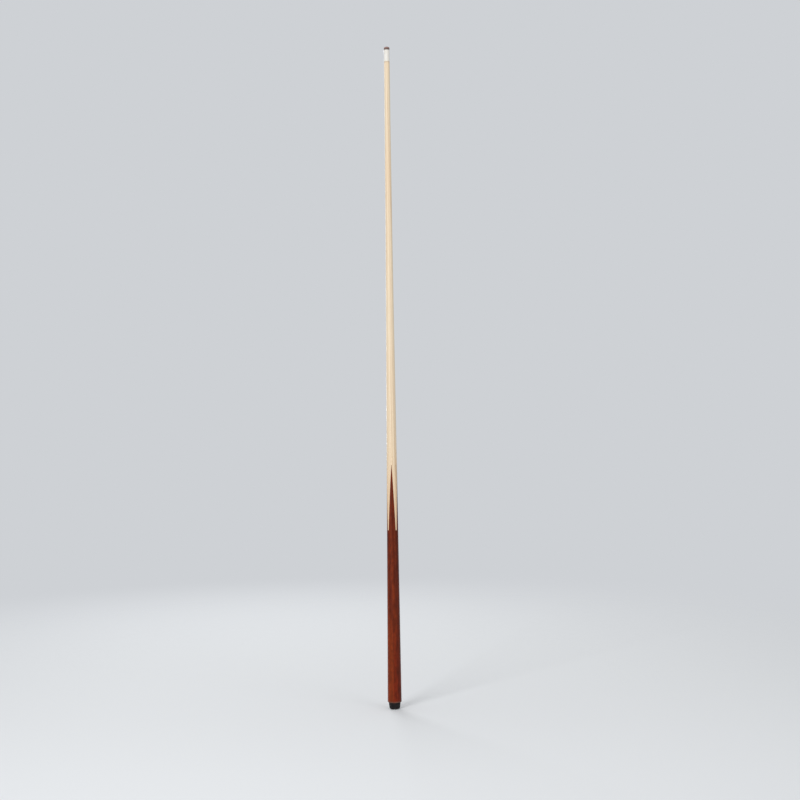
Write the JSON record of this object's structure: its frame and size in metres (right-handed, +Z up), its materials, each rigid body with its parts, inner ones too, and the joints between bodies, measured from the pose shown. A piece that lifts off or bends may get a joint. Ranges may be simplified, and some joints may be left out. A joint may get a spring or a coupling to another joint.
{
  "type": "pool cue",
  "caption": "Full-splice pool cue: tapered pale maple shaft joined to a dark hardwood butt by four long points, with white ferrule, domed leather tip and black rubber bumper.",
  "frame": {"origin": "middle of the bumper's foot, where the cue stands", "axes": "+Z up along the cue's axis to the tip; dark points of the splice face +X, -X, +Y and -Y; -Y is the side the picture shows"},
  "size_m": [0.0304, 0.0302, 1.448],
  "materials": {
    "tip_leather": "scuffed leather, burnished side",
    "fibre": "vulcanised fibre",
    "ferrule_white": "polished white plastic",
    "maple": "satin lacquer on straight-grained maple",
    "dark_hardwood": "gloss lacquer on reddish-brown hardwood",
    "lead": "dull cast lead",
    "dowel_wood": "bare wood",
    "black_rubber": "moulded black rubber",
    "zinc_steel": "zinc-plated steel"
  },
  "bodies": {
    "root": {"tip": "tip_leather", "tip_pad": "fibre", "ferrule": "ferrule_white", "shaft": "maple", "butt": "dark_hardwood", "weight_slug": "lead", "weight_plug": "dowel_wood", "bumper": "black_rubber", "bumper_washer": "zinc_steel", "bumper_screw": "zinc_steel"}
  },
  "joints": []
}
